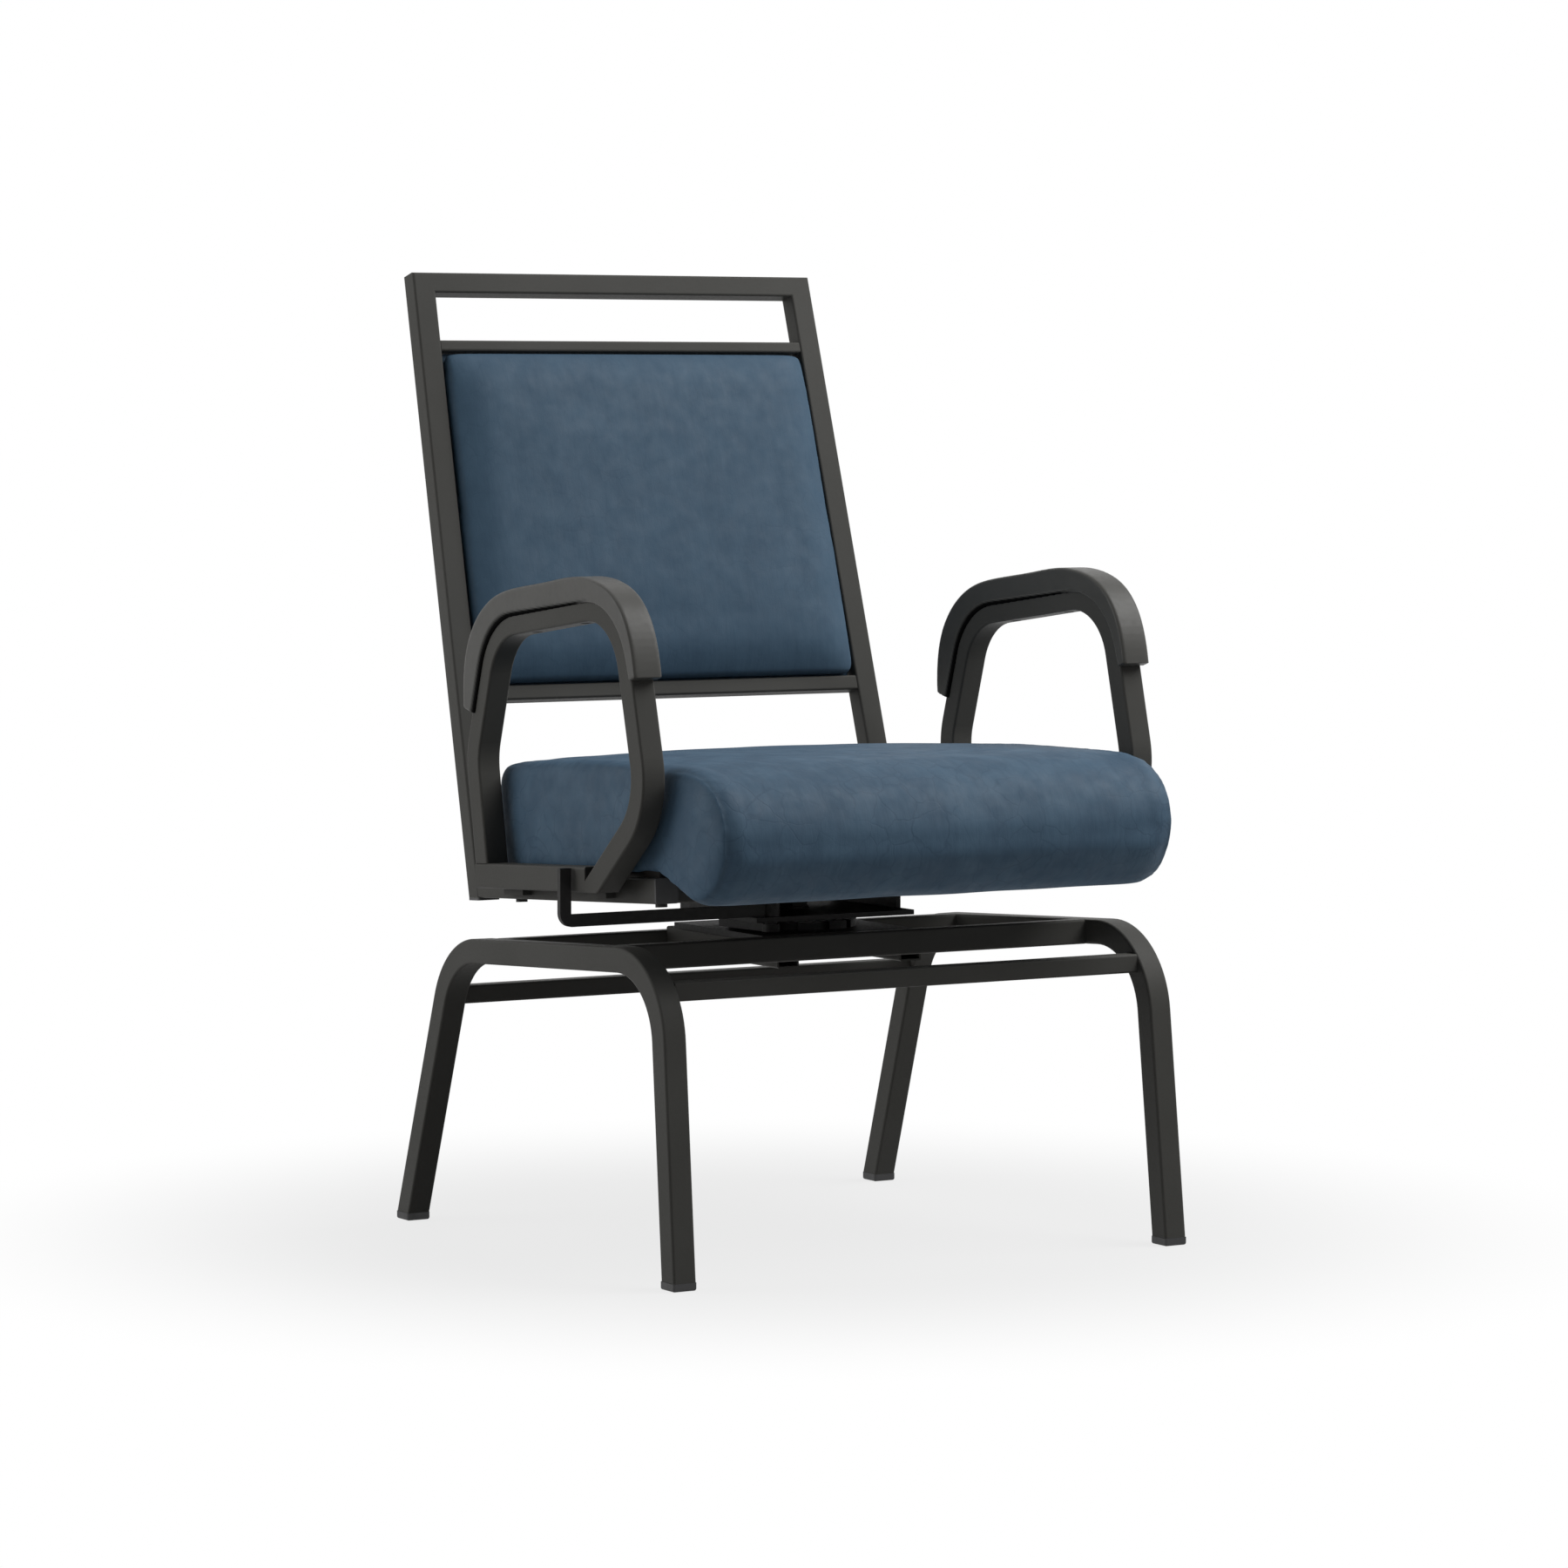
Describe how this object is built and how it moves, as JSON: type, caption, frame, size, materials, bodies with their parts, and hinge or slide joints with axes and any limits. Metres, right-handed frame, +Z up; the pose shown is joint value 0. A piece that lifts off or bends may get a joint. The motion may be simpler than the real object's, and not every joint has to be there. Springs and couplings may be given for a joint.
{
  "type": "swivel dining armchair",
  "caption": "Square-tube steel dining armchair with an upholstered seat and leaning back, padded loop arms, and a seat that turns on a bearing and is locked by a side lever",
  "frame": {"origin": "on the floor under the middle of the chair's outer size", "axes": "the chair faces -Y, +X is to the right of someone who looks at its front, +Z is up"},
  "size_m": [0.6184, 0.7063, 0.9939],
  "materials": {
    "frame_steel": "satin charcoal powder coat",
    "bare_steel": "ground bearing steel",
    "black_steel": "black oxide or thin black enamel on steel",
    "seat_vinyl": "slate blue upholstery vinyl with a soft mottled grain",
    "arm_pad": "satin integral-skin foam",
    "moulded_black": "moulded black",
    "plywood": "plywood stained black brown"
  },
  "bodies": {
    "base": {"left_leg_arch": "frame_steel", "right_leg_arch": "frame_steel", "front_crossbar": "frame_steel", "rear_crossbar": "frame_steel", "front_stretcher": "frame_steel", "rear_stretcher": "frame_steel", "swivel_mount_bars": "frame_steel", "swivel_base_plate": "black_steel", "base_plate_bolts": "black_steel", "swivel_spindle": "black_steel", "spindle_nut": "black_steel", "lock_index_ring": "black_steel", "lower_bearing_race": "bare_steel", "foot_glides": "moulded_black"},
    "seat": {"left_seat_rail": "frame_steel", "right_seat_rail": "frame_steel", "seat_cross_tubes": "frame_steel", "left_arm_tube": "frame_steel", "right_arm_tube": "frame_steel", "left_arm_rail": "frame_steel", "right_arm_rail": "frame_steel", "arm_spacers": "frame_steel", "left_back_upright": "frame_steel", "right_back_upright": "frame_steel", "back_top_rail": "frame_steel", "back_upper_rail": "frame_steel", "back_lower_rail": "frame_steel", "back_panel_tabs": "frame_steel", "swivel_top_plate": "black_steel", "spindle_washer": "black_steel", "seat_screws": "black_steel", "arm_bolts": "black_steel", "arm_pad_screws": "black_steel", "back_panel_screws": "black_steel", "upper_bearing_race": "bare_steel", "seat_cushion": "seat_vinyl", "back_cushion": "seat_vinyl", "back_panel": "seat_vinyl", "left_arm_pad": "arm_pad", "right_arm_pad": "arm_pad", "frame_end_plugs": "moulded_black", "seat_board": "plywood"},
    "lever": {"lock_lever": "black_steel", "lock_shaft": "black_steel", "lock_pawl": "black_steel", "lock_spring": "bare_steel"},
    "ball_cage": {"bearing_balls": "bare_steel", "bearing_cage": "bare_steel"}
  },
  "joints": [
    {"name": "seat_swivel", "type": "hinge", "parent": "base", "child": "seat", "pos_m": [0, -0.0387, 0.335], "axis": [0, 0, 1], "continuous": true},
    {"name": "bearing_roll", "type": "hinge", "parent": "base", "child": "ball_cage", "pos_m": [0, -0.0387, 0.3265], "axis": [0, 0, 1], "continuous": true},
    {"name": "lever_turn", "type": "hinge", "parent": "seat", "child": "lever", "pos_m": [-0.07, -0.1127, 0.345], "axis": [0, 0, -1], "range_deg": [0, 6.5]}
  ],
  "couplings": [
    {"joint": "bearing_roll", "follows": "seat_swivel", "ratio": 0.5}
  ]
}
